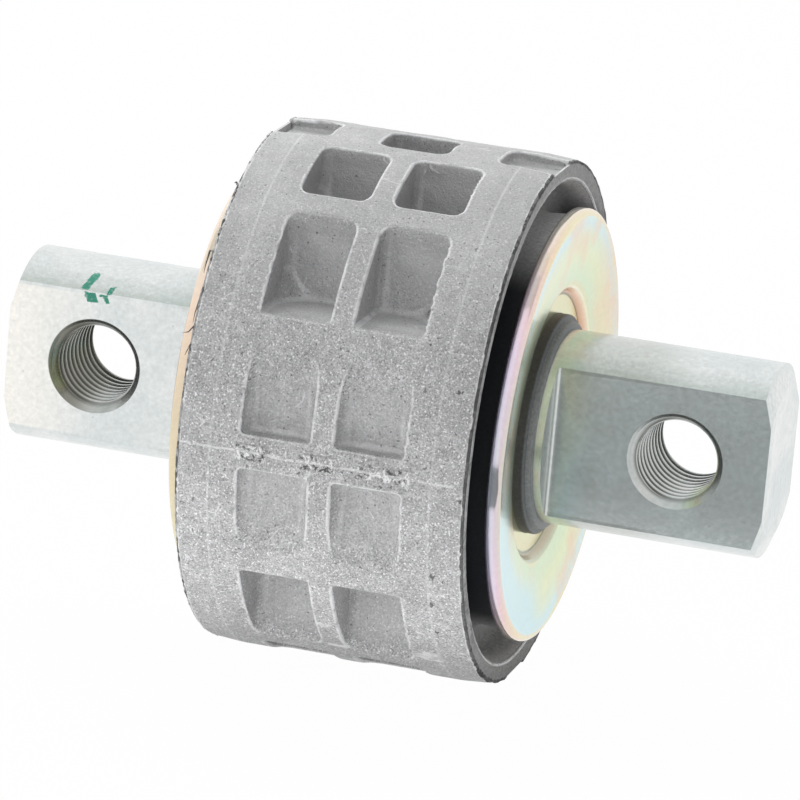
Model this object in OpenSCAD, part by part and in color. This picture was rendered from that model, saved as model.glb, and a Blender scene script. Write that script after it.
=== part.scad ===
// Cab bushing: a steel bar with flattened, threaded ends runs through a rubber spring
// that is moulded into a die-cast aluminium sleeve. A dished steel disc closes each end.
// Units are millimetres. X runs along the bar, Y along the bolt holes, and Z is the
// direction in which the sleeve leaves its die, so the parting line lies at Z = 0.

/* [Bar] */
// Diameter of the round bar
bar_diameter = 42; // [36:0.5:46]
// Length of the bar over its two end faces
bar_length = 170; // [160:1:190]
// Thickness left between the two milled flats of each end
flat_thickness = 26; // [22:0.5:30]
// Distance from the middle to the shoulder where the flats start
flat_start = 38; // [37:0.5:42]
// Corner radius that the milling cutter leaves at the shoulder
cutter_radius = 1; // [0.4:0.1:2]
// How far the turned end chamfer reaches in from the outside
end_chamfer_depth = 4.6; // [2:0.1:6]
// How far the turned end chamfer reaches along the bar
end_chamfer_length = 1.75; // [1:0.05:3]

/* [Bolt holes] */
// Distance between the two bolt holes
hole_spacing = 130; // [124:1:136]
// Bore of the tapped hole at the crests of its thread
hole_bore = 17.3; // [14:0.1:20]
// Diameter of the countersunk mouth of the hole
hole_mouth = 20.9; // [18:0.1:23]

/* [Sleeve] */
// Outside diameter of the sleeve
sleeve_diameter = 114.5; // [110:0.5:120]
// Length of the aluminium sleeve
sleeve_length = 62.4; // [58:0.1:70]
// Length of the slightly tapered band at each end
lead_in_length = 6.5; // [3:0.5:8]
// How much that band loses in radius
lead_in_drop = 0.5; // [0.2:0.1:1]
// Smallest bore of the sleeve, at its waist
waist_bore = 78; // [70:0.5:84]
// Half of the straight part of the waist
waist_half_length = 9; // [6:0.5:11]
// Radius of the flare from the waist to the end bore
flare_radius = 14.1; // [12:0.1:16]
// Bore of the sleeve at both ends
end_bore = 105; // [100:0.5:107]
// Wall between the bore and the floors of the pockets
casting_wall = 4.6; // [3:0.1:6]

/* [Pockets] */
// Length of a pocket along the bushing
pocket_length = 15.1; // [12:0.1:16]
// Width of a pocket across the die
pocket_width = 16.7; // [14:0.1:17.5]
// Rib between the two pockets of a row
middle_rib = 5.4; // [3:0.1:8]
// Rib between two neighbouring rows
row_rib = 5; // [3:0.1:6]
// Width of the pocket on the crown
crown_width = 13; // [10:0.1:16]
// Height above the parting line of the shelf in the deep row at the side
shelf_height = 28; // [25:0.5:31]
// Depth of the shallow side row at its shelf
side_depth = 4.4; // [2:0.1:6]
// Distance from the parting line to the shelf of the side row
parting_land = 3.8; // [2:0.1:6]
// Corner radius of the pockets
pocket_corner = 2.4; // [1:0.1:4]
// Depth of the open notches at both ends of the crown
notch_depth = 3; // [1:0.1:4]
// Distance from the middle to the inner wall of a crown notch
notch_start = 18.9; // [17:0.1:22]

/* [Rubber] */
// Thickness of the rubber skin over the end faces of the sleeve
face_rubber = 0.3; // [0.2:0.1:2]
// Radius at the bottom of the groove between ring and disc
groove_radius = 3.2; // [2:0.1:4]
// Rubber left under the groove where the flare of the sleeve ends
groove_web = 0.4; // [0.2:0.1:2]
// Thickness of the rubber that lines the sleeve beside the groove
lining = 1.4; // [0.8:0.1:3]
// Thickness of the rubber collar between bar and disc
collar_wall = 2.9; // [1.5:0.1:4]
// How far the collar stands above the recess of the disc
collar_height = 2.4; // [1:0.1:4]
// Height of the narrow lip on top of the collar
lip_height = 1.2; // [0.5:0.1:2]
// Thickness of that lip
lip_wall = 1.6; // [0.8:0.1:2.4]

/* [End discs] */
// Outside diameter of a disc
disc_diameter = 94; // [84:0.5:98]
// Sheet thickness of a disc
disc_thickness = 3.2; // [2:0.1:4]
// Distance from the middle to the front of the disc at its edge
disc_front = 36.6; // [34:0.1:37]
// How far the face of the disc sinks from its edge to the recess
dish_depth = 2.2; // [0:0.1:3]
// Diameter of the round recess in the middle
recess_diameter = 59.5; // [54:0.5:70]
// Depth of that recess below the face next to it
recess_depth = 1.8; // [1:0.1:3]

/* [Hidden] */
$fn = 96;
bar_r = bar_diameter / 2;
sleeve_r = sleeve_diameter / 2;
sleeve_half = sleeve_length / 2;
waist_r = waist_bore / 2;
flare_r = waist_r + flare_radius;
end_bore_r = end_bore / 2;
rubber_half = sleeve_half + face_rubber;
groove_floor = waist_half_length + flare_radius + groove_radius + groove_web;
collar_r = bar_r + collar_wall;
disc_r = disc_diameter / 2;
disc_edge_r = disc_thickness / 2;
disc_edge = disc_front - disc_edge_r;
recess_r = recess_diameter / 2;
recess_edge = disc_front - dish_depth;
recess_floor = recess_edge - recess_depth;
step_width = recess_depth * 0.9;
column_inner = middle_rib / 2;
column_centre = column_inner + pocket_length / 2;
row_b = crown_width / 2 + row_rib;
row_c = row_b + pocket_width + row_rib;
side_wall = sleeve_r - side_depth;
far = sleeve_diameter;

// Turns a profile of radius and station about the bar's axis
module turned() rotate([0, 90, 0]) rotate_extrude($fn = 144) children();

// One copy on each end
module both_ends() {
    children();
    mirror([1, 0, 0]) children();
}

// Copies in all four quarters around the parting plane
module four_ways() for (a = [0, 1], b = [0, 1])
    mirror([0, a, 0]) mirror([0, 0, b]) children();

// Everything inside a wall that follows the flared bore at the given distance
module bore_side(offset_wall, edge_r) {
    square_half = sleeve_half + 10;
    square_r = waist_r + offset_wall;
    translate([0, -square_half]) square([square_r, 2 * square_half]);
    for (side = [-1, 1]) difference() {
        scale([1, side]) translate([0, waist_half_length]) square([edge_r, square_half - waist_half_length]);
        translate([flare_r, side * waist_half_length]) circle(r = flare_radius - offset_wall);
    }
}

// A die core: a prism along the draw direction, round at its corners, from its base upwards
module die_core(length, width, base) {
    a = length / 2 - pocket_corner;
    b = width / 2 - pocket_corner;
    translate([0, 0, base]) linear_extrude(sleeve_r + 2 - base) {
        square([length, 2 * b], center = true);
        square([2 * a, width], center = true);
        for (x = [-a, a], y = [-b, b]) translate([x, y]) circle(r = pocket_corner, $fn = 48);
    }
}

// A core that is open to the side: a shelf at its base and a wall at the given distance
module shelf_core(wall, base) translate([0, -wall - far / 2, 0])
    die_core(pocket_length, far, base);

// The cores of one quarter: a closed pocket, a deep shelf and a shallow side pocket
module quarter_cores() for (x = [-column_centre, column_centre]) translate([x, 0, 0]) {
    translate([0, -row_b - pocket_width / 2, 0])
        die_core(pocket_length, pocket_width, 0);
    shelf_core(row_c, shelf_height);
    shelf_core(side_wall, parting_land);
}

module crown_cores() for (b = [0, 1]) mirror([0, 0, b])
    die_core(pocket_length, crown_width, 0);

// The open notches in the end bands on the crown
module notch_cores() for (b = [0, 1]) mirror([0, 0, b]) both_ends()
    translate([notch_start + far / 2, 0, 0])
        die_core(far, crown_width, sleeve_r - notch_depth);

module sleeve_blank() turned() difference() {
    polygon([
        [0, -sleeve_half],
        [sleeve_r - lead_in_drop, -sleeve_half],
        [sleeve_r, -sleeve_half + lead_in_length],
        [sleeve_r, sleeve_half - lead_in_length],
        [sleeve_r - lead_in_drop, sleeve_half],
        [0, sleeve_half]]);
    bore_side(0, end_bore_r);
}

module outer_sleeve() color([0.72, 0.73, 0.74]) difference() {
    sleeve_blank();
    difference() {
        union() {
            four_ways() quarter_cores();
            crown_cores();
        }
        turned() bore_side(casting_wall, far);
    }
    notch_cores();
}

// Half of the rubber's section: radius against station, from the middle to the right end
module rubber_half_section() {
    back_face = recess_floor - disc_thickness;
    difference() {
        union() {
            // The spring fills the flared bore and backs the dish of the disc
            intersection() {
                bore_side(0, end_bore_r);
                union() {
                    polygon([
                        [bar_r, 0],
                        [end_bore_r, 0],
                        [end_bore_r, sleeve_half],
                        [disc_r - disc_edge_r, disc_edge - disc_edge_r],
                        [recess_r, recess_edge - disc_thickness],
                        [recess_r - step_width, back_face],
                        [bar_r, back_face]]);
                    // The lining that joins the ring to the spring
                    translate([end_bore_r - lining, 0]) square([lining, rubber_half]);
                }
            }
            // The ring over the end face of the sleeve
            translate([end_bore_r - lining, sleeve_half])
                square([sleeve_r - lead_in_drop - end_bore_r + lining, face_rubber]);
            // The collar round the bar, with its lip
            translate([bar_r, back_face])
                square([collar_wall, disc_thickness + collar_height]);
            translate([bar_r, recess_floor])
                square([lip_wall, collar_height + lip_height]);
        }
        // The groove between the cushion and the lining
        translate([end_bore_r - lining - groove_radius, groove_floor]) circle(r = groove_radius, $fn = 12);
        polygon([
            [end_bore_r - lining - 2 * groove_radius, groove_floor],
            [end_bore_r - lining, groove_floor],
            [end_bore_r, rubber_half + 1],
            [end_bore_r, disc_front + 1],
            [disc_r - disc_edge_r, disc_front + 1],
            [disc_r - disc_edge_r, disc_edge - disc_edge_r]]);
    }
}

// One moulding, open at the crown notches like the end faces that it covers
module rubber_body() color([0.16, 0.16, 0.17]) difference() {
    turned() {
        rubber_half_section();
        mirror([0, 1]) rubber_half_section();
    }
    notch_cores();
}

// The turned bar before its ends are milled and drilled
module bar_blank() turned() polygon([
    [0, -bar_length / 2],
    [bar_r - end_chamfer_depth, -bar_length / 2],
    [bar_r, -bar_length / 2 + end_chamfer_length],
    [bar_r, bar_length / 2 - end_chamfer_length],
    [bar_r - end_chamfer_depth, bar_length / 2],
    [0, bar_length / 2]]);

// What the cutter takes off the front of the right end, with its round corner
module flat_cut() translate([0, 0, -bar_r - 1]) linear_extrude(2 * bar_r + 2) {
    translate([flat_start + cutter_radius, -bar_r - 5])
        square([bar_length, bar_r + 5 - flat_thickness / 2]);
    translate([flat_start, -bar_r - 5])
        square([bar_length, bar_r + 5 - flat_thickness / 2 - cutter_radius]);
    translate([flat_start + cutter_radius, -flat_thickness / 2 - cutter_radius])
        circle(r = cutter_radius, $fn = 48);
}

// A tapped hole with both mouths countersunk
module bolt_hole() rotate([90, 0, 0]) {
    sink = (hole_mouth - hole_bore) / 2;
    cylinder(h = flat_thickness + 2, d = hole_bore, center = true);
    for (side = [0, 1]) mirror([0, 0, side]) translate([0, 0, flat_thickness / 2 - sink])
        cylinder(h = sink + 1, d1 = hole_bore, d2 = hole_mouth + 2);
}

module center_pin() color([0.78, 0.81, 0.83]) difference() {
    bar_blank();
    for (front = [0, 1]) mirror([0, front, 0]) both_ends() flat_cut();
    both_ends() translate([hole_spacing / 2, 0, 0]) bolt_hole();
}

// A pressed disc with a round edge, a dished face and a stepped recess round the bar
module disc_section() {
    inner = recess_r - step_width;
    polygon([
        [disc_r - disc_edge_r, disc_edge + disc_edge_r],
        [recess_r, recess_edge],
        [inner, recess_floor],
        [collar_r, recess_floor],
        [collar_r, recess_floor - disc_thickness],
        [inner, recess_floor - disc_thickness],
        [recess_r, recess_edge - disc_thickness],
        [disc_r - disc_edge_r, disc_edge - disc_edge_r]]);
    translate([disc_r - disc_edge_r, disc_edge]) circle(r = disc_edge_r, $fn = 64);
}

module end_disc() color([0.87, 0.85, 0.62]) turned() disc_section();

module end_disc_right() end_disc();

module end_disc_left() mirror([1, 0, 0]) end_disc();

outer_sleeve();
rubber_body();
center_pin();
end_disc_left();
end_disc_right();
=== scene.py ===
# Cab bushing: bar, rubber spring, die-cast sleeve and two end discs on a pale floor.
import math

import bmesh
import bpy
from mathutils import Matrix, Vector, noise


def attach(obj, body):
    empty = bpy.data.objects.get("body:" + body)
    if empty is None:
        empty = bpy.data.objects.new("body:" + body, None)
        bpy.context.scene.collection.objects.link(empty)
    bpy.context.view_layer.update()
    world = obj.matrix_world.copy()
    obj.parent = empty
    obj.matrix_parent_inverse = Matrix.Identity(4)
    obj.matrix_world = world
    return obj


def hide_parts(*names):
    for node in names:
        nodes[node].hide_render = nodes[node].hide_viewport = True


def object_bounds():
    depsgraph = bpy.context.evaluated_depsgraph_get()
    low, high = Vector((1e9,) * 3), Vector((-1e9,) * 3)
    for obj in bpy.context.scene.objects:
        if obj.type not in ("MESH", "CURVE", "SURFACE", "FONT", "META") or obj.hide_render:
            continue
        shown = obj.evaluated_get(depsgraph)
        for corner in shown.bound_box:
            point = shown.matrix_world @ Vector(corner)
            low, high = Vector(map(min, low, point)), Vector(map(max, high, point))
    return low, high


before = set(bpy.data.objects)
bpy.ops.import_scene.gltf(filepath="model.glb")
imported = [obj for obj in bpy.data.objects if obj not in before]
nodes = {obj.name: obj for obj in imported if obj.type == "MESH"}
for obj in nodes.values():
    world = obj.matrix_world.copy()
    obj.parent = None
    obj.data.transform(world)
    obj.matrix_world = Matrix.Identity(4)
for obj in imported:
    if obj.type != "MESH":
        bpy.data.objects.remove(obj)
cadBox = [list(corner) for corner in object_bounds()]
mm = 0.001
print("frame loaded:", ", ".join(sorted(nodes)))


def objectFromBmesh(name, bm):
    mesh = bpy.data.meshes.new(name)
    bm.to_mesh(mesh)
    bm.free()
    obj = bpy.data.objects.new(name, mesh)
    bpy.context.collection.objects.link(obj)
    return obj


def shadeByAngle(obj, degrees):
    for polygon in obj.data.polygons:
        polygon.use_smooth = True
    obj.data.set_sharp_from_angle(angle=math.radians(degrees))


def keepEvaluatedMesh(obj):
    # the modifiers' result becomes the mesh, and the modifiers go
    depsgraph = bpy.context.evaluated_depsgraph_get()
    baked = bpy.data.meshes.new_from_object(obj.evaluated_get(depsgraph))
    obj.modifiers.clear()
    obj.data = baked


def cutAway(obj, cutter):
    boolean = obj.modifiers.new("cut", "BOOLEAN")
    boolean.operation = "DIFFERENCE"
    boolean.solver = "EXACT"
    boolean.object = cutter


def spinProfile(profile, steps, roundings=None, segments=4, loop=False):
    # profile holds (station, radius) in mm; roundings maps a corner's number to its radius
    bm = bmesh.new()
    verts = [bm.verts.new((x * mm, 0, r * mm)) for x, r in profile]
    pairs = list(zip(verts, verts[1:]))
    if loop:
        pairs.append((verts[-1], verts[0]))
    for a, b in pairs:
        bm.edges.new((a, b))
    for number, radius in (roundings or {}).items():
        bmesh.ops.bevel(
            bm, geom=[verts[number]], offset=radius * mm, offset_type="OFFSET", segments=segments,
            profile=0.5, affect="VERTICES", material=-1,
        )
    bmesh.ops.spin(
        bm, geom=bm.verts[:] + bm.edges[:], cent=(0, 0, 0), axis=(1, 0, 0), dvec=(0, 0, 0),
        angle=math.tau, steps=steps, use_merge=True, use_duplicate=False,
    )
    bmesh.ops.remove_doubles(bm, verts=bm.verts[:], dist=0.000002)
    bmesh.ops.recalc_face_normals(bm, faces=bm.faces[:])
    return bm


def addNode(tree, kind, values=None, **settings):
    node = tree.nodes.new(kind)
    for key, value in settings.items():
        setattr(node, key, value)
    for key, value in (values or {}).items():
        node.inputs[key].default_value = value
    return node


def feed(tree, socket, value):
    # a number or colour becomes the socket's own value, anything else is linked to it
    if isinstance(value, (int, float)):
        socket.default_value = value
    elif isinstance(value, tuple):
        socket.default_value = (*value, 1)
    else:
        tree.links.new(value, socket)


def calc(tree, operation, *values, clamp=False):
    node = addNode(tree, "ShaderNodeMath", operation=operation, use_clamp=clamp)
    for socket, value in zip(node.inputs, values):
        feed(tree, socket, value)
    return node.outputs[0]


def times(tree, *values):
    product = values[0]
    for value in values[1:]:
        product = calc(tree, "MULTIPLY", product, value)
    return product


def awayFrom(tree, value, centre):
    return calc(tree, "ABSOLUTE", calc(tree, "SUBTRACT", value, centre))


def hypotenuse(tree, a, b):
    return calc(tree, "SQRT", calc(tree, "MULTIPLY_ADD", a, a, times(tree, b, b)))


def mixColor(tree, factor, a, b, blend="MIX"):
    node = addNode(tree, "ShaderNodeMix", data_type="RGBA", blend_type=blend)
    for number, value in ((0, factor), (6, a), (7, b)):
        feed(tree, node.inputs[number], value)
    return node.outputs[2]


def band(tree, value, low, high, toLow=0.0, toHigh=1.0):
    # a soft step from toLow to toHigh between two values, in the value's own unit
    node = addNode(tree, "ShaderNodeMapRange", interpolation_type="SMOOTHSTEP")
    for key, number in (("From Min", low), ("From Max", high), ("To Min", toLow), ("To Max", toHigh)):
        node.inputs[key].default_value = number
    feed(tree, node.inputs["Value"], value)
    return node.outputs["Result"]


def colorSteps(tree, value, stops):
    # stops holds (value, colour) in the value's own unit
    low, high = stops[0][0], stops[-1][0]
    share = addNode(tree, "ShaderNodeMapRange")
    share.inputs["From Min"].default_value = low
    share.inputs["From Max"].default_value = high
    feed(tree, share.inputs["Value"], value)
    node = addNode(tree, "ShaderNodeValToRGB")
    elements = node.color_ramp.elements
    while len(elements) < len(stops):
        elements.new(0.5)
    for element, (at, color) in zip(elements, stops):
        element.position = (at - low) / (high - low)
        element.color = (*color, 1)
    feed(tree, node.inputs["Fac"], share.outputs["Result"])
    return node.outputs["Color"]


def noiseTexture(tree, place, scale, detail=3.0, roughness=0.5, distortion=0.0):
    values = {"Detail": detail, "Roughness": roughness, "Distortion": distortion}
    node = addNode(tree, "ShaderNodeTexNoise", values)
    feed(tree, node.inputs["Vector"], place)
    feed(tree, node.inputs["Scale"], scale)
    return node.outputs["Fac"]


def newMaterial(name, metallic, roughness, **sockets):
    material = bpy.data.materials.new(name)
    material.use_nodes = True
    tree = material.node_tree
    shader = tree.nodes["Principled BSDF"]
    shader.inputs["Metallic"].default_value = metallic
    shader.inputs["Roughness"].default_value = roughness
    for key, value in sockets.items():
        shader.inputs[key.replace("_", " ")].default_value = value
    place = addNode(tree, "ShaderNodeTexCoord").outputs["Object"]
    return material, tree, shader, place


def splitPlace(tree, place):
    # the three coordinates and the distance from the bar's axis
    split = addNode(tree, "ShaderNodeSeparateXYZ")
    feed(tree, split.inputs[0], place)
    x, y, z = split.outputs
    radius = hypotenuse(tree, y, z)
    return x, y, z, radius


def newGroup(name, inputs, outputs):
    group = bpy.data.node_groups.new(name, "ShaderNodeTree")
    for socketName, kind, value in inputs:
        socket = group.interface.new_socket(socketName, in_out="INPUT", socket_type=kind)
        if value is not None:
            socket.default_value = value
    for socketName in outputs:
        group.interface.new_socket(socketName, in_out="OUTPUT", socket_type="NodeSocketFloat")
    return group, group.nodes.new("NodeGroupInput").outputs, group.nodes.new("NodeGroupOutput").inputs


def placeGroup(tree, group, place, **values):
    node = addNode(tree, "ShaderNodeGroup", node_tree=group)
    feed(tree, node.inputs["Place"], place)
    for key, value in values.items():
        node.inputs[key].default_value = value
    return node.outputs


def addBump(tree, shader, height, strength, distance):
    bump = addNode(tree, "ShaderNodeBump", {"Strength": strength, "Distance": distance})
    feed(tree, bump.inputs["Height"], height)
    feed(tree, shader.inputs["Normal"], bump.outputs["Normal"])


floatSocket = "NodeSocketFloat"

# speckle: a fine light and dark grain about 1, with its height for the bump
speckle, groupIn, groupOut = newGroup(
    "speckle",
    [("Place", "NodeSocketVector", None), ("Scale", floatSocket, 1500.0), ("Contrast", floatSocket, 0.5)],
    ["Tone", "Height"],
)
grain = noiseTexture(speckle, groupIn["Place"], groupIn["Scale"], 2.0, 0.7)
centred = calc(speckle, "SUBTRACT", grain, 0.5)
feed(speckle, groupOut["Tone"], calc(speckle, "MULTIPLY_ADD", centred, groupIn["Contrast"], 1.0))
feed(speckle, groupOut["Height"], grain)

# scratches: thin wandering lines, broken up into short strokes
scratches, groupIn, groupOut = newGroup(
    "scratches",
    [("Place", "NodeSocketVector", None), ("Scale", floatSocket, 150.0), ("Width", floatSocket, 0.03)],
    ["Mask"],
)
bend = noiseTexture(scratches, groupIn["Place"], groupIn["Scale"], 2.0)
line = awayFrom(scratches, bend, 0.5)
thin = calc(scratches, "LESS_THAN", line, groupIn["Width"])
patch = noiseTexture(scratches, groupIn["Place"], times(scratches, groupIn["Scale"], 3.0), 2.0)
shown = band(scratches, patch, 0.57, 0.66)
feed(scratches, groupOut["Mask"], times(scratches, thin, shown))

# pits: scattered small hollows of ragged outline, as a mask that is 1 in a pit
pits, groupIn, groupOut = newGroup(
    "pits",
    [("Place", "NodeSocketVector", None), ("Scale", floatSocket, 300.0), ("Size", floatSocket, 0.12)],
    ["Mask"],
)
cells = addNode(pits, "ShaderNodeTexVoronoi", feature="F1")
feed(pits, cells.inputs["Vector"], groupIn["Place"])
feed(pits, cells.inputs["Scale"], groupIn["Scale"])
pick = addNode(pits, "ShaderNodeSeparateColor")
feed(pits, pick.inputs[0], cells.outputs["Color"])
ragged = noiseTexture(pits, groupIn["Place"], 1800.0, 1.0)
reach = calc(pits, "SUBTRACT", cells.outputs["Distance"], 0.06)
reach = calc(pits, "MULTIPLY_ADD", ragged, 0.12, reach)
inside = calc(pits, "LESS_THAN", reach, groupIn["Size"])
# about one cell in eight holds a pit
chosen = calc(pits, "GREATER_THAN", pick.outputs[0], 0.88)
feed(pits, groupOut["Mask"], times(pits, chosen, inside))
print("node groups built")


# blasted die casting: grey, sparkling grain, pale edges partly painted as highlights, painted light deep in
# the pockets, a rough parting line with painted highlight and shade, and a few deep pits painted dark as
# shade
castLook = {
    "color": (0.485, 0.485, 0.49), "pale": (0.92, 0.92, 0.93),
    "fleck": (0.88, 0.88, 0.89), "dark": (0.08, 0.08, 0.08),
    # where a look begins and is full, by height, radius, facing or sharpness, then its two strengths
    "front": (0.055, 0.015, 0.35, 1.0), "outside": (0.0545, 0.0565, 0.6, 1.0),
    "paintedLightFacing": (0.3, 0.7, 0.22, 0.0), "paintedLightDepth": (0.0550, 0.0520),
    "edge": (0.512, 0.526), "corner": (0.4925, 0.4865, 0.0, 0.42),
    "coreLine": 0.0241, "coreLineWidth": (0.0004, 0.0001), "coreLineFrom": (0.0565, 0.0568, 0.0, 0.35),
    "patchHeight": (0.0020, 0.0013), "patchEnd": 0.001, "seamHeight": (0.00040, 0.00012),
    # place and half length of each patch of flash on the parting line
    "roughPatches": [(-0.0152, 0.0040), (-0.0004, 0.0045), (0.0140, 0.0063)],
    # place and radius of each pit in mm
    "deepPits": [
        (25.1, -53.1, -21.3, 0.5), (24.7, -49.5, -28.8, 0.5), (25.0, -44.4, -36.1, 0.4),
        (27.7, -53.9, 19.2, 0.4), (30.5, -57.2, -3.2, 0.5), (12.9, -53.8, 19.6, 0.25),
        (19.4, -50.3, 27.3, 0.25),
    ],
}


def makeCastAluminium():
    material, tree, shader, place = newMaterial("blastedAluminium", 0.5, 0.6)
    x, _, z, radius = splitPlace(tree, place)
    fine = placeGroup(tree, speckle, place, Scale=2600.0, Contrast=2.2)
    middle = placeGroup(tree, speckle, place, Scale=450.0, Contrast=0.75)
    cloud = placeGroup(tree, speckle, place, Scale=55.0, Contrast=0.45)
    # the grain is coarser to the eye in front than on top and inside the pockets
    inFront = times(tree, band(tree, z, *castLook["front"]), band(tree, radius, *castLook["outside"]))
    grained = calc(tree, "SUBTRACT", times(tree, fine["Tone"], middle["Tone"]), 1.0)
    tone = times(tree, calc(tree, "MULTIPLY_ADD", grained, inFront, 1.0), cloud["Tone"])
    base = mixColor(tree, 1.0, castLook["color"], tone, "MULTIPLY")
    # painted light: deep in the pockets the walls are painted paler, standing in for light that reaches them,
    # but not on the walls that face along the bar
    facing = addNode(tree, "ShaderNodeSeparateXYZ")
    feed(tree, facing.inputs[0], addNode(tree, "ShaderNodeNewGeometry").outputs["Normal"])
    deep = band(tree, calc(tree, "ABSOLUTE", facing.outputs["X"]), *castLook["paintedLightFacing"])
    deep = times(tree, deep, band(tree, radius, *castLook["paintedLightDepth"]))
    base = mixColor(tree, deep, base, castLook["pale"])
    # the blast leaves bright flecks and small dark specks
    flecks = band(tree, noiseTexture(tree, place, 2100.0, 1.0), 0.60, 0.70)
    flecks = times(tree, flecks, inFront)
    base = mixColor(tree, flecks, base, castLook["fleck"])
    specks = band(tree, noiseTexture(tree, place, 1300.0, 1.0), 0.31, 0.24, 0.0, 0.6)
    base = mixColor(tree, specks, base, castLook["dark"])
    # pale edges, partly wear and partly painted highlight, painted highlight lines in the inner corners, and
    # scratches show bright metal
    pointed = addNode(tree, "ShaderNodeNewGeometry").outputs["Pointiness"]
    wearAndHighlight = band(tree, pointed, *castLook["edge"])
    wearAndHighlight = calc(tree, "MAXIMUM", wearAndHighlight, band(tree, pointed, *castLook["corner"]))
    broken = band(tree, noiseTexture(tree, place, 350.0, 3.0), 0.3, 0.55, 0.3, 1.0)
    fromLine = awayFrom(tree, calc(tree, "ABSOLUTE", x), castLook["coreLine"])
    coreLine = band(tree, fromLine, *castLook["coreLineWidth"])
    coreLine = times(tree, coreLine, band(tree, radius, *castLook["coreLineFrom"]))
    wearAndHighlight = calc(tree, "MAXIMUM", times(tree, wearAndHighlight, broken), coreLine)
    scratched = placeGroup(tree, scratches, place, Scale=70.0, Width=0.0045)["Mask"]
    wearAndHighlight = times(tree, wearAndHighlight, 0.68)
    bright = calc(tree, "MAXIMUM", wearAndHighlight, times(tree, scratched, 0.5))
    base = mixColor(tree, bright, base, castLook["pale"])
    # torn flash on the parting line, in three patches with a thin line between them; its ridges are painted
    # pale, as bright torn metal and painted highlight, its gaps dark as painted shade, and the thin line pale
    # as painted highlight
    height = calc(tree, "ABSOLUTE", z)
    inPatch = 0.0
    for centre, half in castLook["roughPatches"]:
        along = band(tree, awayFrom(tree, x, centre), half, half - castLook["patchEnd"])
        one = times(tree, along, band(tree, height, *castLook["patchHeight"]))
        inPatch = calc(tree, "MAXIMUM", one, inPatch)
    torn = noiseTexture(tree, place, 620.0, 3.0, 0.7, 1.2)
    wander = times(tree, calc(tree, "SUBTRACT", noiseTexture(tree, place, 150.0), 0.5), 0.0012)
    seam = band(tree, calc(tree, "ABSOLUTE", calc(tree, "ADD", z, wander)), *castLook["seamHeight"])
    seam = times(tree, seam, band(tree, noiseTexture(tree, place, 420.0), 0.36, 0.5))
    ridgeMetalAndHighlight = times(tree, inPatch, band(tree, torn, 0.53, 0.58, 0.0, 0.95))
    gapShade = times(tree, inPatch, band(tree, torn, 0.44, 0.38, 0.0, 0.9))
    base = mixColor(tree, ridgeMetalAndHighlight, base, castLook["pale"])
    base = mixColor(tree, gapShade, base, castLook["dark"])
    base = mixColor(tree, times(tree, seam, 0.55), base, castLook["pale"])
    # the deep pits near the right end, and small ones all over, painted dark as painted shade in their
    # hollows
    hollow = placeGroup(tree, pits, place, Scale=260.0, Size=0.05)["Mask"]
    jagged = calc(tree, "MULTIPLY_ADD", noiseTexture(tree, place, 1300.0, 2.0), 0.0018, -0.0009)
    for px, py, pz, size in castLook["deepPits"]:
        gap = addNode(tree, "ShaderNodeVectorMath", operation="DISTANCE")
        gap.inputs[1].default_value = (px * mm, py * mm, pz * mm)
        feed(tree, gap.inputs[0], place)
        reach = calc(tree, "ADD", gap.outputs["Value"], jagged)
        hollow = calc(tree, "MAXIMUM", hollow, band(tree, reach, (size + 0.1) * mm, (size - 0.1) * mm))
    base = mixColor(tree, times(tree, hollow, 0.75), base, castLook["dark"])
    feed(tree, shader.inputs["Base Color"], base)
    relief = calc(tree, "ADD", fine["Height"], times(tree, middle["Height"], 1.5))
    relief = calc(tree, "MULTIPLY_ADD", times(tree, inPatch, torn), 5.0, relief)
    relief = calc(tree, "MULTIPLY_ADD", hollow, -2.0, relief)
    addBump(tree, shader, relief, 0.7, 0.0003)
    return material


# rubber: black and smooth in the grooves, with painted grey light and dust where they open up and down, a dry
# grey skin over the sleeve's end faces, and a painted shadow line at its torn outer edge
rubberLook = {
    "black": (0.018, 0.020, 0.024), "dustAndPaintedLight": (0.62, 0.62, 0.625), "skin": (0.58, 0.585, 0.585),
    "rim": (0.03, 0.03, 0.03), "collar": (0.25, 0.265, 0.27),
    # where a look begins and is full, by height, radius or place along the bar, in metres
    "dustLightHeight": (0.035, 0.045), "dustLightFrom": (0.036, 0.044), "dryFrom": (0.0495, 0.0512),
    "collarOut": (0.0262, 0.0250), "collarStep": (0.0239, 0.0236, 0.25, 1.0),
    "collarTop": (0.0225, 0.0228, 1.0, 0.55),
    "skinFrom": (0.0515, 0.0548), "skinAlong": (0.0285, 0.0306), "tornFrom": (0.0553, 0.0557),
    "whiskerAlong": (-0.0314, -0.0317), "whiskerFrom": (0.048, 0.049),
}


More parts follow.
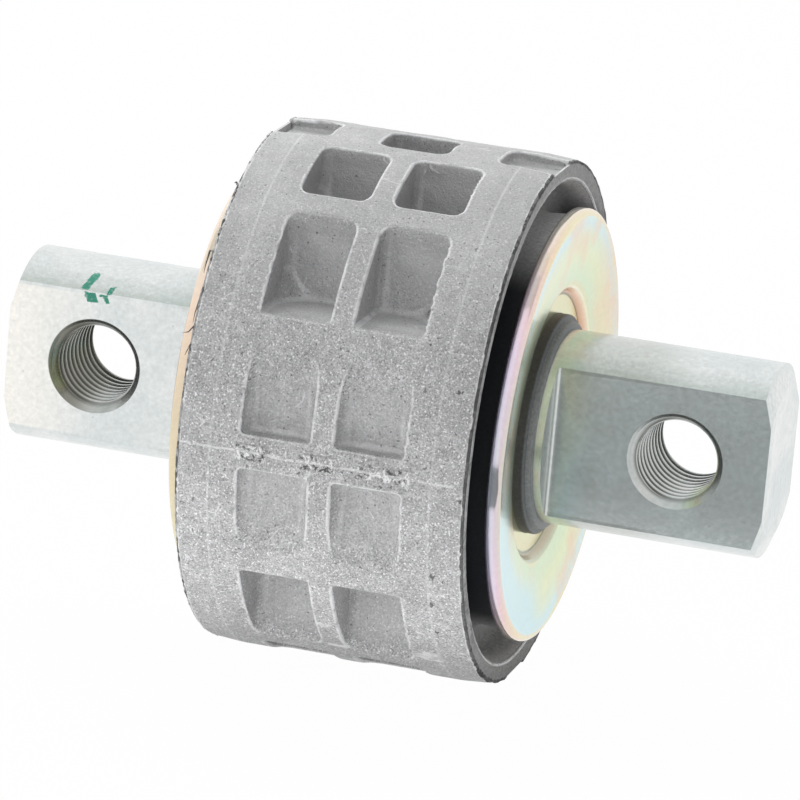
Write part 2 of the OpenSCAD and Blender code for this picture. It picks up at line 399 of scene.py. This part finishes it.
def makeRubber():
    material, tree, shader, place = newMaterial("vulcanisedRubber", 0.0, 0.5, Specular_IOR_Level=0.3)
    x, _, z, radius = splitPlace(tree, place)
    mottle = noiseTexture(tree, place, 300.0, 5.0, 0.7)
    # painted light and dust: the grooves are painted grey where they open up and down, standing in for the
    # light that falls into them there, with some dust
    dustAndPaintedLight = band(tree, calc(tree, "ABSOLUTE", z), *rubberLook["dustLightHeight"])
    dustAndPaintedLight = times(tree, dustAndPaintedLight, band(tree, radius, *rubberLook["dustLightFrom"]))
    base = mixColor(tree, dustAndPaintedLight, rubberLook["black"], rubberLook["dustAndPaintedLight"])
    # the collar is grey on its two rings and black where it steps
    collarParts = [band(tree, radius, *rubberLook[part]) for part in ("collarOut", "collarStep", "collarTop")]
    collar = times(tree, *collarParts)
    base = mixColor(tree, collar, base, rubberLook["collar"])
    skin = times(tree, band(tree, radius, *rubberLook["skinFrom"]), band(tree, mottle, 0.33, 0.6, 0.4, 1.0))
    skin = times(tree, skin, band(tree, calc(tree, "ABSOLUTE", x), *rubberLook["skinAlong"]))
    base = mixColor(tree, skin, base, rubberLook["skin"])
    # torn black rubber at the outer edge, painted dark also as the shadow line where it meets the sleeve, and
    # the whiskers on the left rim
    torn = calc(tree, "MULTIPLY_ADD", noiseTexture(tree, place, 900.0, 2.0), -0.0009, radius)
    broken = calc(tree, "MAXIMUM", band(tree, mottle, 0.47, 0.53), band(tree, x, -0.001, 0.001, 0.0, 0.75))
    rim = times(tree, band(tree, torn, *rubberLook["tornFrom"]), broken)
    whisker = band(tree, x, *rubberLook["whiskerAlong"])
    whisker = times(tree, whisker, band(tree, radius, *rubberLook["whiskerFrom"]))
    rim = calc(tree, "MAXIMUM", rim, whisker)
    base = mixColor(tree, times(tree, rim, 0.85), base, rubberLook["rim"])
    fine = placeGroup(tree, speckle, place, Scale=1500.0, Contrast=1.1)
    base = mixColor(tree, 1.0, base, fine["Tone"], "MULTIPLY")
    feed(tree, shader.inputs["Base Color"], base)
    dry = calc(tree, "MAXIMUM", band(tree, radius, *rubberLook["dryFrom"]), dustAndPaintedLight)
    feed(tree, shader.inputs["Roughness"], band(tree, dry, 0.0, 0.6, 0.42, 0.9))
    relief = calc(tree, "ADD", fine["Height"], times(tree, mottle, skin))
    addBump(tree, shader, relief, 0.35, 0.0002)
    return material


# zinc plated steel: satin, milled on the flats, with oil and painted shade in the threads, painted shade in
# the holes and near the discs, a painted reflection on the left end, and a dab of paint
zincLook = {
    "color": (0.79, 0.81, 0.80), "paintedBrightEnd": (0.93, 0.91, 0.86), "cool": (0.68, 0.73, 0.73),
    "speck": (0.2, 0.21, 0.21), "oilAndShade": (0.07, 0.07, 0.06), "discShade": (0.55, 0.57, 0.54),
    "shade": (0.24, 0.24, 0.21),
    # where a look begins and is full, by radius, distance from a hole's axis or place along the bar
    "onRound": (0.0202, 0.0207), "warmAlong": (-0.062, -0.085), "discShadeAlong": (0.054, 0.040, 0.0, 0.75),
    "discShadeReach": (0.004, 0.020), "hole": 0.065, "holeSide": (0.003, -0.007), "holeMouth": (0.0106, 0.0104),
    "threadDepth": (0.00872, 0.00895), "threadEnd": (0.0121, 0.0112, 0.0, 1.0), "onFlat": (0.01305, 0.01301),
    # the cutter's arcs: their centre, how close they lie, and where they begin and end
    "arcCentre": (-0.061, 0.019), "arcRate": 9000.0, "arcsFrom": (-0.061, -0.052), "arcsTo": (-0.030, -0.036),
}
# each stroke: its x at the given z, its lean, half its width, and the z where it starts and ends
paintLook = {
    "color": (0.025, 0.25, 0.17), "blur": 0.0001, "raggedSides": 0.0016, "raggedEnds": 0.0014,
    "strokes": [
        (-0.0679, 0.0180, 0.45, 0.0009, 0.0167, 0.0194),
        (-0.0669, 0.0154, -0.35, 0.0013, 0.0142, 0.0163),
        (-0.0630, 0.0164, 0.30, 0.0005, 0.0163, 0.0177),
        (-0.0641, 0.0159, 0.00, 0.0010, 0.0156, 0.0162),
        (-0.0632, 0.0149, -0.30, 0.0005, 0.0143, 0.0156),
    ],
}


def makePaintMask(tree, place, x, y, z):
    shake = calc(tree, "SUBTRACT", noiseTexture(tree, place, 800.0, 3.0, 0.7), 0.5)
    blur = paintLook["blur"]
    mask = 0.0
    for centre, atZ, lean, half, low, high in paintLook["strokes"]:
        line = calc(tree, "MULTIPLY_ADD", calc(tree, "SUBTRACT", z, atZ), lean, centre)
        away = calc(tree, "MULTIPLY_ADD", shake, paintLook["raggedSides"], awayFrom(tree, x, line))
        across = band(tree, away, half + blur, half - blur)
        level = calc(tree, "MULTIPLY_ADD", shake, paintLook["raggedEnds"], z)
        above = band(tree, level, low - blur, low + blur)
        below = band(tree, level, high + blur, high - blur)
        mask = calc(tree, "MAXIMUM", times(tree, across, above, below), mask)
    return times(tree, mask, calc(tree, "LESS_THAN", y, 0.0))


def makeZincSteel():
    material, tree, shader, place = newMaterial("zincPlatedSteel", 0.92, 0.3)
    x, y, z, radius = splitPlace(tree, place)
    cloud = noiseTexture(tree, place, 60.0, 5.0, 0.6, 0.5)
    base = mixColor(tree, band(tree, cloud, 0.35, 0.65), zincLook["color"], zincLook["cool"])
    onRound = band(tree, radius, *zincLook["onRound"])
    # painted reflection: the left end, most of all its flats, is painted brighter and warmer, as the bright
    # surroundings that it reflects
    paintedBrightEnd = times(tree, band(tree, x, *zincLook["warmAlong"]), band(tree, onRound, 0.0, 1.0, 1.0, 0.2))
    base = mixColor(tree, paintedBrightEnd, base, zincLook["paintedBrightEnd"])
    base = mixColor(tree, times(tree, onRound, 0.3), base, zincLook["cool"])
    # painted shade and reflection: darker near the collar, where the discs and rubber shade the bar and
    # darken what it reflects, most of all on the round of the right end
    beside = calc(tree, "MULTIPLY_ADD", cloud, 0.012, calc(tree, "ABSOLUTE", x))
    reach = times(tree, onRound, band(tree, x, -0.01, 0.01, *zincLook["discShadeReach"]))
    paintedDiscShade = band(tree, calc(tree, "SUBTRACT", beside, reach), *zincLook["discShadeAlong"])
    base = mixColor(tree, paintedDiscShade, base, zincLook["discShade"])
    fine = placeGroup(tree, speckle, place, Scale=900.0, Contrast=0.34)
    base = mixColor(tree, 1.0, base, fine["Tone"], "MULTIPLY")
    # small pits painted dark, as painted shade in their hollows
    speck = placeGroup(tree, pits, place, Scale=420.0, Size=0.05)["Mask"]
    base = mixColor(tree, times(tree, speck, 0.7), base, zincLook["speck"])
    # painted shade and oil in the holes, by the distance from the nearer hole's axis: each hole is painted
    # darker on its left side, the left hole more than the right, and the thread roots dark, as oil and
    # painted shade
    fromHole = calc(tree, "SUBTRACT", calc(tree, "ABSOLUTE", x), zincLook["hole"])
    leftSide = band(tree, times(tree, fromHole, calc(tree, "SIGN", x)), *zincLook["holeSide"])
    fromHole = hypotenuse(tree, fromHole, z)
    inHole = band(tree, fromHole, *zincLook["holeMouth"])
    aside = calc(tree, "ABSOLUTE", y)
    paintedHoleShade = times(tree, band(tree, leftSide, 0.0, 1.0, 0.4, 1.0), band(tree, x, -0.01, 0.01, 1.0, 0.4))
    sunk = times(tree, inHole, paintedHoleShade)
    base = mixColor(tree, sunk, base, zincLook["shade"])
    groove = times(tree, inHole, band(tree, fromHole, *zincLook["threadDepth"]))
    groove = times(tree, groove, band(tree, aside, *zincLook["threadEnd"]))
    groove = times(tree, groove, band(tree, leftSide, 0.0, 1.0, 0.55, 0.95))
    base = mixColor(tree, groove, base, zincLook["oilAndShade"])
    # arcs that the cutter left, above and beside the left hole
    arcX = calc(tree, "SUBTRACT", x, zincLook["arcCentre"][0])
    arcZ = calc(tree, "SUBTRACT", z, zincLook["arcCentre"][1])
    fromArc = hypotenuse(tree, arcX, arcZ)
    arc = calc(tree, "SINE", times(tree, fromArc, zincLook["arcRate"]))
    arc = times(tree, arc, band(tree, x, *zincLook["arcsFrom"]), band(tree, x, *zincLook["arcsTo"]))
    arc = times(tree, arc, band(tree, aside, *zincLook["onFlat"]))
    streaks = band(tree, noiseTexture(tree, place, 1500.0, 3.0), 0.36, 0.46, 0.7, 1.0)
    mask = times(tree, makePaintMask(tree, place, x, y, z), streaks)
    base = mixColor(tree, mask, base, paintLook["color"])
    feed(tree, shader.inputs["Base Color"], base)
    feed(tree, shader.inputs["Metallic"], band(tree, mask, 0.0, 1.0, 0.92, 0.0))
    feed(tree, shader.inputs["Roughness"], band(tree, cloud, 0.3, 0.7, 0.18, 0.26))
    relief = calc(tree, "MULTIPLY_ADD", arc, 0.3, calc(tree, "SUBTRACT", fine["Height"], speck))
    addBump(tree, shader, relief, 0.10, 0.0002)
    return material


# yellow passivated zinc: pale yellow green, with a cyan band and a rainbow round the rolled edge, a painted
# reflection across that edge, and painted shade and highlight on the recess step
discLook = {
    "face": [
        (0.0240, (0.80, 0.80, 0.50)), (0.0290, (0.82, 0.76, 0.46)), (0.0310, (0.70, 0.84, 0.60)),
        (0.0370, (0.80, 0.86, 0.56)), (0.0410, (0.76, 0.86, 0.66)), (0.0433, (0.66, 0.86, 0.88)),
        (0.0447, (0.70, 0.86, 0.80)), (0.0452, (0.88, 0.80, 0.42)),
    ],
    "edge": [
        (0.000, (0.52, 0.56, 0.60)), (0.014, (0.60, 0.58, 0.70)), (0.026, (0.76, 0.60, 0.78)),
        (0.034, (0.86, 0.60, 0.62)), (0.041, (0.90, 0.72, 0.46)), (0.047, (0.86, 0.84, 0.52)),
    ],
    "across": [
        (0.0334, (0.42, 0.46, 0.52)), (0.0341, (0.62, 0.58, 0.78)), (0.0349, (0.93, 0.88, 0.92)),
        (0.0356, (0.92, 0.70, 0.72)), (0.0366, (0.90, 0.84, 0.52)),
    ],
    "leftEdge": [
        (-0.047, (0.86, 0.82, 0.56)), (-0.020, (0.80, 0.72, 0.50)), (0.004, (0.78, 0.66, 0.48)),
        (0.022, (0.88, 0.70, 0.56)), (0.047, (0.94, 0.84, 0.72)),
    ],
    "step": [
        (0.0276, (0.80, 0.80, 0.50)), (0.0281, (0.20, 0.19, 0.12)), (0.0286, (0.62, 0.40, 0.26)),
        (0.0292, (0.86, 0.60, 0.44)), (0.0298, (0.92, 0.90, 0.70)), (0.0304, (0.80, 0.84, 0.56)),
    ],
    "lowStepShade": (0.36, 0.44, 0.34), "peach": (0.90, 0.66, 0.46), "cyan": (0.62, 0.86, 0.90),
    # where a look begins and is full, by radius, height or depth, in metres
    "cyanHeight": (0.004, -0.016), "cyanDepth": (0.004, -0.012), "cyanFrom": (0.031, 0.038, 0.0, 0.95),
    "highHeight": (-0.004, 0.012), "highDepth": (0.018, 0.034, 0.0, 0.45),
    "stepFrom": (0.0276, 0.0280), "stepTo": (0.0304, 0.0299), "lowHeight": (0.004, -0.010, 0.0, 0.6),
    "edgeFrom": (0.0453, 0.0457), "edgeGloss": (0.0440, 0.0455, 0.20, 0.12),
}


def makePassivated():
    material, tree, shader, place = newMaterial("yellowPassivate", 0.85, 0.22)
    x, y, z, radius = splitPlace(tree, place)
    wander = calc(tree, "SUBTRACT", noiseTexture(tree, place, 34.0, 3.0, 0.6, 0.4), 0.5)
    face = colorSteps(tree, calc(tree, "MULTIPLY_ADD", wander, 0.006, radius), discLook["face"])
    patch = band(tree, noiseTexture(tree, place, 62.0, 4.0), 0.5, 0.68, 0.0, 0.65)
    face = mixColor(tree, patch, face, discLook["peach"])
    cyan = times(tree, band(tree, z, *discLook["cyanHeight"]), band(tree, y, *discLook["cyanDepth"]))
    cyan = times(tree, cyan, band(tree, radius, *discLook["cyanFrom"]))
    face = mixColor(tree, cyan, face, discLook["cyan"])
    high = times(tree, band(tree, y, *discLook["highDepth"]), band(tree, z, *discLook["highHeight"]))
    face = mixColor(tree, high, face, discLook["peach"])
    # painted shade and highlight: the recess step gets a dark line in its corner as painted shade, a brown
    # wall, a pale line as painted highlight, and a darker lower half as painted shade
    onStep = times(tree, band(tree, radius, *discLook["stepFrom"]), band(tree, radius, *discLook["stepTo"]))
    stepShadeAndHighlight = colorSteps(tree, radius, discLook["step"])
    stepShadeAndHighlight = mixColor(tree, band(tree, z, *discLook["lowHeight"]), stepShadeAndHighlight, discLook["lowStepShade"])
    face = mixColor(tree, onStep, face, stepShadeAndHighlight)
    height = calc(tree, "MULTIPLY_ADD", wander, 0.008, calc(tree, "ABSOLUTE", z))
    edge = colorSteps(tree, height, discLook["edge"])
    # painted reflection: across the rolled edge a dark line and a near-white line are painted, as the dark
    # groove and the white surroundings that the edge reflects
    across = colorSteps(tree, calc(tree, "MULTIPLY_ADD", wander, 0.0006, x), discLook["across"])
    edge = mixColor(tree, 0.5, edge, across)
    leftEdge = colorSteps(tree, calc(tree, "MULTIPLY_ADD", wander, 0.008, z), discLook["leftEdge"])
    edge = mixColor(tree, band(tree, x, 0.001, -0.001), edge, leftEdge)
    base = mixColor(tree, band(tree, radius, *discLook["edgeFrom"]), face, edge)
    fine = placeGroup(tree, speckle, place, Scale=800.0, Contrast=0.14)
    base = mixColor(tree, 1.0, base, fine["Tone"], "MULTIPLY")
    feed(tree, shader.inputs["Base Color"], base)
    feed(tree, shader.inputs["Roughness"], band(tree, radius, *discLook["edgeGloss"]))
    addBump(tree, shader, fine["Height"], 0.03, 0.0002)
    return material


castAluminium = makeCastAluminium()
rubber = makeRubber()
zincSteel = makeZincSteel()
passivated = makePassivated()
print("materials built")

# sleeve: the casting keeps its node, with its edges rounded as they leave the blasting; cells in metres
sleeveFinish = {"cell": 0.0004, "quickCell": 0.0007, "smoothing": 5, "faces": 190000}
sleeve = nodes["outer_sleeve"]
remesh = sleeve.modifiers.new("castSkin", "REMESH")
remesh.mode = "VOXEL"
remesh.voxel_size = sleeveFinish["cell"]
remesh.use_smooth_shade = True
soften = sleeve.modifiers.new("softEdges", "SMOOTH")
soften.factor = 0.5
soften.iterations = sleeveFinish["smoothing"]
# the fine skin is thinned to what one mesh may hold, mostly on its even faces
skinned = sleeve.evaluated_get(bpy.context.evaluated_depsgraph_get())
skinFaces = 2 * len(skinned.data.polygons)
thin = sleeve.modifiers.new("fewerFaces", "DECIMATE")
thin.ratio = min(1, sleeveFinish["faces"] / skinFaces)
sleeve.data.materials.clear()
sleeve.data.materials.append(castAluminium)
print("sleeve ready, skin faces", skinFaces)

# rubber spring: one spun section from end to end, torn at the outer edge of its rings
spring = {
    "steps": 720, "skinFrom": 0.0309, "notchHalf": 0.0065, "notchFloor": 0.0556,
    # the torn edge: where it begins, and how far it goes in and out finely and slowly
    "tornFrom": 0.0561, "tear": 0.00035, "slow": 0.0003,
    # the whiskers: where they grow from, in mm, how much they thin out, and how their parts overlap
    "rim": (-31.2, 57.0), "thinning": 0.8, "overlap": 1.05,
}
# station and radius of each corner in mm, from the middle to the right end
halfSection = [
    (9, 38.9), (15, 40.2), (20, 44.2), (22.6, 48.5), (23.0, 52.3), (30.9, 52.4), (31.0, 56.7),
    (31.5, 56.5), (31.5, 52.9), (29.2, 51.3), (26.7, 51.1), (23.5, 50.6), (23.5, 45.4), (26.7, 44.7),
    (33.3, 45.3), (33.2, 43.5), (31.0, 30.2), (29.3, 28.2), (29.3, 23.85), (35.0, 23.85),
    (35.0, 22.6), (36.2, 22.5), (36.2, 21.0),
]
# radius of each corner of the half section that is round
halfRounds = {7: 0.15, 8: 1.3, 11: 1.8, 12: 1.8, 19: 0.6, 20: 0.3, 21: 0.5}
# whiskers of flash on the left rim: angle round the sleeve, half width, and steps in mm
whiskers = [
    (155.5, 0.20, [(-0.9, -0.6, -1.25), (-1.1, -0.4, -0.3)]),
    (159.5, 0.20, [(-0.4, -0.4, -1.1), (-0.4, -0.4, -1.1)]),
    (138.5, 0.24, [(-0.6, -0.2, 0.0), (-0.2, -0.5, -1.5), (-0.2, -0.5, -1.5), (-0.1, -0.5, -1.5)]),
    (147.5, 0.20, [(-0.3, -0.7, -2.3), (-0.4, -0.9, -2.5), (-0.1, -0.6, -2.1)]),
    (120.5, 0.28, [(-0.3, 0.1, 0.6), (-0.4, -0.1, -0.3)]),
]


def addWhiskers(bm):
    for degrees, thick, steps in whiskers:
        angle = math.radians(degrees)
        station, radius = spring["rim"]
        here = Vector((station, radius * math.cos(angle), radius * math.sin(angle)))
        for number, step in enumerate(steps):
            way = Vector(step)
            turn = way.to_track_quat("Z", "Y").to_matrix().to_4x4()
            middle = (here + way / 2) * mm
            start, end = (
                thick * (1 - spring["thinning"] * part / len(steps)) for part in (number, number + 1)
            )
            bmesh.ops.create_cone(
                bm, cap_ends=True, segments=8, radius1=start * mm, radius2=end * mm,
                depth=way.length * spring["overlap"] * mm, matrix=Matrix.Translation(middle) @ turn,
            )
            here = here + way


def ripple(vert, seed, scale):
    return noise.noise(Vector((seed, vert.co.y * scale, vert.co.z * scale)))


def makeSpring():
    count = len(halfSection)
    profile = halfSection + [(-x, r) for x, r in reversed(halfSection)]
    mirrored = {2 * count - 1 - number: radius for number, radius in halfRounds.items()}
    bm = spinProfile(profile, spring["steps"], {**halfRounds, **mirrored}, loop=True)
    for vert in bm.verts:
        if abs(vert.co.x) < spring["skinFrom"]:
            continue
        radius = math.hypot(vert.co.y, vert.co.z)
        if abs(vert.co.y) < spring["notchHalf"] and abs(vert.co.z) > spring["notchFloor"]:
            # the skin follows the notch in the sleeve's end
            vert.co.z = math.copysign(spring["notchFloor"], vert.co.z)
        elif radius > spring["tornFrom"]:
            side = math.copysign(1, vert.co.x)
            jag = ripple(vert, side * 3, 1100) * max(0, 0.5 + 1.6 * ripple(vert, side * 5, 90))
            slow = ripple(vert, side * 7, 260)
            grow = 1 + (jag * spring["tear"] + slow * spring["slow"]) / radius
            vert.co.y *= grow
            vert.co.z *= grow
    addWhiskers(bm)
    obj = objectFromBmesh("rubberSpring", bm)
    shadeByAngle(obj, 40)
    obj.data.materials.append(rubber)
    return obj


rubberSpring = makeSpring()
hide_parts("rubber_body")
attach(rubberSpring, "root")
print("rubber spring ready")

# end discs: pressed washers with a rolled edge and a stepped recess
disc = {
    "radius": 47.0, "front": 36.6, "sheet": 3.2, "dish": 2.2, "recess": 29.75, "step": 1.8, "slant": 0.6,
    "bore": 23.92, "steps": 256, "rounds": {1: 0.4, 2: 0.6, 3: 1.5, 4: 0.5, 5: 0.6, 6: 0.5},
}


def makeDisc(name, side):
    dished = disc["front"] - disc["dish"]
    floor = dished - disc["step"]
    edge = disc["radius"]
    innerStep = disc["recess"] - disc["step"] * disc["slant"]
    front = [(floor, disc["bore"]), (floor, innerStep), (dished, disc["recess"]), (disc["front"], edge)]
    back = [(x - disc["sheet"], r) for x, r in reversed(front)]
    profile = [(side * x, r) for x, r in front + back]
    obj = objectFromBmesh(name, spinProfile(profile, disc["steps"], disc["rounds"], segments=8, loop=True))
    shadeByAngle(obj, 40)
    obj.data.materials.append(passivated)
    return obj


for name, side, node in (("discRight", 1, "end_disc_right"), ("discLeft", -1, "end_disc_left")):
    piece = makeDisc(name, side)
    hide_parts(node)
    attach(piece, "root")
print("end discs ready")

# bar: turned, milled flat at both ends, drilled, countersunk and tapped
bar = {
    "radius": 21.0, "half": 85.0, "chamferIn": 4.6, "chamferAlong": 1.75, "flat": 13.0, "shoulder": 38.0,
    "hole": 65.0, "crest": 8.65, "mouth": 10.45, "edge": 0.35, "shoulderEdge": 0.9, "steps": 160,
    # the thread: its pitch, the root's radius and half width, and the same where its cutter begins
    "pitch": 2.5, "root": (9.95, 0.16), "cutterInner": (8.2, 1.2), "perTurn": 48,
    # how much longer and deeper than the flat its cutter is, and what the hole cutter has to spare
    "cutterLong": 60, "cutterDeep": 12, "spare": 2, "holeSteps": 96,
}


def makeFlatCutter():
    bm = bmesh.new()
    for side in (-1, 1):
        for face in (-1, 1):
            made = bmesh.ops.create_cube(bm, size=1)
            size = Vector((bar["cutterLong"], bar["cutterDeep"], bar["cutterLong"])) * mm
            x = side * (bar["shoulder"] + bar["cutterLong"] / 2)
            centre = Vector((x, face * (bar["flat"] + bar["cutterDeep"] / 2), 0)) * mm
            turn = Matrix.Translation(centre) @ Matrix.Diagonal((*size, 1))
            bmesh.ops.transform(bm, matrix=turn, verts=made["verts"])
            nearEdges = [
                edge for vert in made["verts"] for edge in vert.link_edges
                if all(
                    abs(v.co.x) < (bar["shoulder"] + 1) * mm and abs(v.co.y) < (bar["flat"] + 1) * mm
                    for v in edge.verts
                )
            ]
            bmesh.ops.bevel(
                bm, geom=list(set(nearEdges)), offset=bar["shoulderEdge"] * mm, offset_type="OFFSET",
                segments=5, profile=0.5, affect="EDGES", material=-1,
            )
    return objectFromBmesh("flatCutter", bm)


def makeHoleCutter():
    sink = bar["mouth"] - bar["crest"]
    end = bar["flat"] + bar["spare"]
    wide = bar["mouth"] + bar["spare"]
    profile = [
        (-end, 0), (-end, wide), (-bar["flat"] + sink, bar["crest"]),
        (bar["flat"] - sink, bar["crest"]), (end, wide), (end, 0),
    ]
    bm = spinProfile(profile, bar["holeSteps"])
    bmesh.ops.rotate(bm, verts=bm.verts[:], cent=(0, 0, 0), matrix=Matrix.Rotation(math.pi / 2, 3, "Z"))
    twin = bmesh.ops.duplicate(bm, geom=bm.verts[:] + bm.edges[:] + bm.faces[:])
    twinVerts = [item for item in twin["geom"] if isinstance(item, bmesh.types.BMVert)]
    bmesh.ops.translate(bm, verts=twinVerts, vec=(2 * bar["hole"] * mm, 0, 0))
    bmesh.ops.translate(bm, verts=bm.verts[:], vec=(-bar["hole"] * mm, 0, 0))
    return objectFromBmesh("holeCutter", bm)


def makeThreadCutter():
    bm = bmesh.new()
    turns = math.ceil(2 * bar["flat"] / bar["pitch"]) + 2
    low = -turns * bar["pitch"] / 2
    inner, innerHalf = bar["cutterInner"]
    root, rootHalf = bar["root"]
    shape = [(inner, -innerHalf), (root, -rootHalf), (root, rootHalf), (inner, innerHalf)]
    for side in (-1, 1):
        verts = [bm.verts.new(((side * bar["hole"] + r) * mm, (low + y) * mm, 0)) for r, y in shape]
        face = bm.faces.new(verts)
        bmesh.ops.spin(
            bm, geom=[face] + face.edges[:] + verts, cent=(side * bar["hole"] * mm, 0, 0), axis=(0, 1, 0),
            dvec=(0, bar["pitch"] * mm / bar["perTurn"], 0), angle=math.tau * turns,
            steps=bar["perTurn"] * turns,
            use_merge=False, use_duplicate=False,
        )
    bmesh.ops.recalc_face_normals(bm, faces=bm.faces[:])
    return objectFromBmesh("threadCutter", bm)


def makeBar():
    half, radius = bar["half"], bar["radius"]
    fullFrom, endRadius = half - bar["chamferAlong"], radius - bar["chamferIn"]
    blank = [(-half, 0), (-half, endRadius), (-fullFrom, radius), (fullFrom, radius)]
    blank += [(half, endRadius), (half, 0)]
    obj = objectFromBmesh("steelBar", spinProfile(blank, bar["steps"]))
    cutters = [makeFlatCutter(), makeHoleCutter(), makeThreadCutter()]
    cutAway(obj, cutters[0])
    cutAway(obj, cutters[1])
    keepEvaluatedMesh(obj)
    bevel = obj.modifiers.new("edge", "BEVEL")
    bevel.width = bar["edge"] * mm
    bevel.segments = 3
    bevel.limit_method = "ANGLE"
    bevel.angle_limit = math.radians(20)
    cutAway(obj, cutters[2])
    keepEvaluatedMesh(obj)
    for cutter in cutters:
        bpy.data.objects.remove(cutter)
    shadeByAngle(obj, 28)
    even = obj.modifiers.new("evenNormals", "WEIGHTED_NORMAL")
    even.keep_sharp = True
    obj.data.materials.clear()
    obj.data.materials.append(zincSteel)
    return obj


steelBar = makeBar()
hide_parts("center_pin")
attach(steelBar, "root")
print("bar ready")

# floor, cards, lamps and world
studio = {"floor": 6.0, "worldLight": 0.36, "fromLeft": 0.17, "shown": 0.985, "floorShade": 0.60}
# grey cards that only reflections show: size, place and shade
cards = {
    "floorCard": ((0.22, 0.25), (0.052, -0.250, -0.0565), (0.235, 0.265, 0.265)),
    "ceilingCard": ((2.40, 0.90), (-0.20, 0.10, 1.25), (0.84, 0.86, 0.85)),
    "edgeCard": ((2.40, 0.45), (-0.20, -0.12, 1.20), (0.66, 0.70, 0.67)),
}
# each lamp: place, what it points at, size and power
lamps = {
    "topLamp": ((-0.35, 0.45, 0.95), (0, 0, 0), (0.8, 0.8), 13.5),
    "leftLamp": ((-0.30, -0.36, 0.06), (-0.02, 0, 0), (0.2, 0.2), 0.45),
    "floorLamp": ((-0.08, -0.30, -0.052), (-0.08, -0.30, 1.0), (0.55, 0.34), 0.25),
    "lowLamp": ((0, -0.095, -0.054), (0, -0.095, 1.0), (0.34, 0.09), 0.12),
}


def seenStraight(tree):
    # 1 for what the camera, a reflection or a clear piece sees, 0 for the light on the object
    path = addNode(tree, "ShaderNodeLightPath")
    seen = calc(tree, "ADD", path.outputs["Is Camera Ray"], path.outputs["Is Glossy Ray"], clamp=True)
    return calc(tree, "ADD", seen, path.outputs["Is Transmission Ray"], clamp=True)


def makeFloor():
    bm = bmesh.new()
    bmesh.ops.create_grid(bm, x_segments=1, y_segments=1, size=studio["floor"])
    bmesh.ops.translate(bm, verts=bm.verts[:], vec=(0, 0, cadBox[0][2]))
    floor = objectFromBmesh("floor", bm)
    material, tree, shader, _ = newMaterial("paleFloor", 0.0, 0.9, Specular_IOR_Level=0.0)
    shader.inputs["Base Color"].default_value = (*[studio["floorShade"]] * 3, 1)
    glow = addNode(tree, "ShaderNodeEmission", {"Color": (1, 1, 1, 1), "Strength": 1.0})
    mix = addNode(tree, "ShaderNodeMixShader")
    feed(tree, mix.inputs["Fac"], times(tree, seenStraight(tree), studio["shown"]))
    feed(tree, mix.inputs[1], shader.outputs[0])
    feed(tree, mix.inputs[2], glow.outputs[0])
    feed(tree, tree.nodes["Material Output"].inputs["Surface"], mix.outputs[0])
    floor.data.materials.append(material)


def makeCard(name, size, place, shade):
    bm = bmesh.new()
    bmesh.ops.create_grid(bm, x_segments=1, y_segments=1, size=0.5)
    spread = Matrix.Translation(place) @ Matrix.Diagonal((*size, 1, 1))
    bmesh.ops.transform(bm, matrix=spread, verts=bm.verts[:])
    sheet = objectFromBmesh(name, bm)
    material = bpy.data.materials.new(name)
    material.use_nodes = True
    tree = material.node_tree
    glow = addNode(tree, "ShaderNodeEmission", {"Color": (*shade, 1), "Strength": 1.0})
    feed(tree, tree.nodes["Material Output"].inputs["Surface"], glow.outputs[0])
    sheet.data.materials.append(material)
    sheet.visible_camera = False
    sheet.visible_diffuse = False
    sheet.visible_transmission = False
    sheet.visible_shadow = False


def makeWorld():
    world = bpy.data.worlds.new("studio")
    bpy.context.scene.world = world
    world.use_nodes = True
    tree = world.node_tree
    background = tree.nodes["Background"]
    background.inputs["Color"].default_value = (1, 1, 1, 1)
    # the light on the object comes more from the left than from the right
    way = addNode(tree, "ShaderNodeTexCoord").outputs["Generated"]
    across = addNode(tree, "ShaderNodeSeparateXYZ")
    feed(tree, across.inputs[0], way)
    light = calc(tree, "MULTIPLY_ADD", across.outputs["X"], -studio["fromLeft"], studio["worldLight"])
    seen = seenStraight(tree)
    strength = calc(tree, "MULTIPLY_ADD", calc(tree, "SUBTRACT", 1.0, seen), light, seen)
    feed(tree, background.inputs["Strength"], strength)


def addLamp(name, place, target, size, power):
    data = bpy.data.lights.new(name, "AREA")
    data.energy = power
    data.shape = "RECTANGLE"
    data.size, data.size_y = size
    lamp = bpy.data.objects.new(name, data)
    bpy.context.collection.objects.link(lamp)
    lamp.location = place
    lamp.rotation_euler = (Vector(target) - Vector(place)).to_track_quat("-Z", "Y").to_euler()
    lamp.visible_camera = False
    lamp.visible_glossy = False


makeFloor()
makeWorld()
for name, values in cards.items():
    makeCard(name, *values)
for name, values in lamps.items():
    addLamp(name, *values)
print("studio ready")

# camera, in the direction that the photo was taken from
shot = {
    "azimuth": 15.21, "elevation": 15.75, "roll": 5.10, "distance": 1.404, "aim": (0.00039, -0.0002),
    "pixelsPerMetre": 4640, "imageWidth": 800, "sensor": 36,
}


def makeCamera():
    az, el, roll = (math.radians(shot[key]) for key in ("azimuth", "elevation", "roll"))
    toCamera = Vector((math.sin(az) * math.cos(el), -math.cos(az) * math.cos(el), math.sin(el)))
    right = Vector((math.cos(az), math.sin(az), 0))
    up = toCamera.cross(right)
    tiltedRight = right * math.cos(roll) + up * math.sin(roll)
    tiltedUp = up * math.cos(roll) - right * math.sin(roll)
    data = bpy.data.cameras.new("camera")
    data.sensor_width = shot["sensor"]
    data.lens = shot["pixelsPerMetre"] * shot["distance"] / shot["imageWidth"] * shot["sensor"]
    data.clip_end = 50
    camera = bpy.data.objects.new("camera", data)
    bpy.context.collection.objects.link(camera)
    place = toCamera * shot["distance"] + tiltedRight * shot["aim"][0] + tiltedUp * shot["aim"][1]
    turn = Matrix((tiltedRight, tiltedUp, toCamera)).transposed().to_4x4()
    camera.matrix_world = Matrix.Translation(place) @ turn
    bpy.context.scene.camera = camera


makeCamera()
bpy.context.scene.view_settings.view_transform = "Standard"
